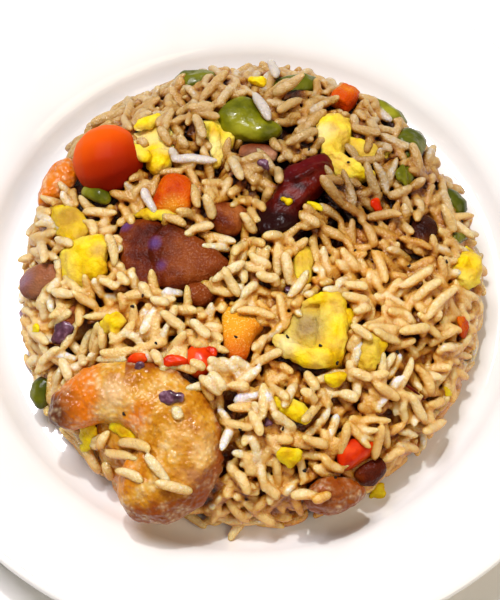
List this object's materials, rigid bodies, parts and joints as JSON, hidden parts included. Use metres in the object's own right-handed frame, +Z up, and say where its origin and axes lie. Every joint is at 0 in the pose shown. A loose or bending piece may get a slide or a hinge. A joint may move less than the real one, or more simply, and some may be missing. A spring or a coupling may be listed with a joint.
{
  "type": "fried rice plate",
  "caption": "Round white side plate heaped with fried rice, with prawns, roast pork, sausage, scrambled egg, tomato, pepper and carrot on top.",
  "frame": {"origin": "centre of the plate's foot ring, at the height of the table", "axes": "+Z up, -Y towards the diner, +X to the diner's right"},
  "size_m": [0.184, 0.184, 0.0358],
  "materials": {
    "plate": "glossy white glaze",
    "rice": "cooked grains, lightly oiled",
    "pork": "sticky dark glaze",
    "sausage": "glossy dark red",
    "egg": "soft matt curd",
    "tomato": "smooth wet skin",
    "pepper": "wet green skin",
    "carrot": "cooked, semi-gloss",
    "redpepper": "wet red skin",
    "prawn": "pan-fried, oily"
  },
  "bodies": {
    "root": {"plate": "plate", "rice": "rice", "pork_1": "pork", "pork_2": "pork", "pork_3": "pork", "pork_4": "pork", "pork_5": "pork", "pork_6": "pork", "pork_7": "pork", "pork_8": "pork", "sausage": "sausage", "egg_1": "egg", "egg_2": "egg", "egg_3": "egg", "egg_4": "egg", "egg_5": "egg", "egg_6": "egg", "egg_7": "egg", "egg_8": "egg", "egg_9": "egg", "egg_10": "egg", "egg_11": "egg", "egg_12": "egg", "egg_13": "egg", "tomato": "tomato", "pepper_1": "pepper", "pepper_2": "pepper", "pepper_3": "pepper", "pepper_4": "pepper", "pepper_5": "pepper", "pepper_6": "pepper", "pepper_7": "pepper", "pepper_8": "pepper", "pepper_9": "pepper", "carrot_1": "carrot", "carrot_2": "carrot", "carrot_3": "carrot", "redpepper_1": "redpepper", "redpepper_2": "redpepper", "prawn_1": "prawn", "prawn_2": "prawn", "prawn_3": "prawn"}
  },
  "joints": []
}
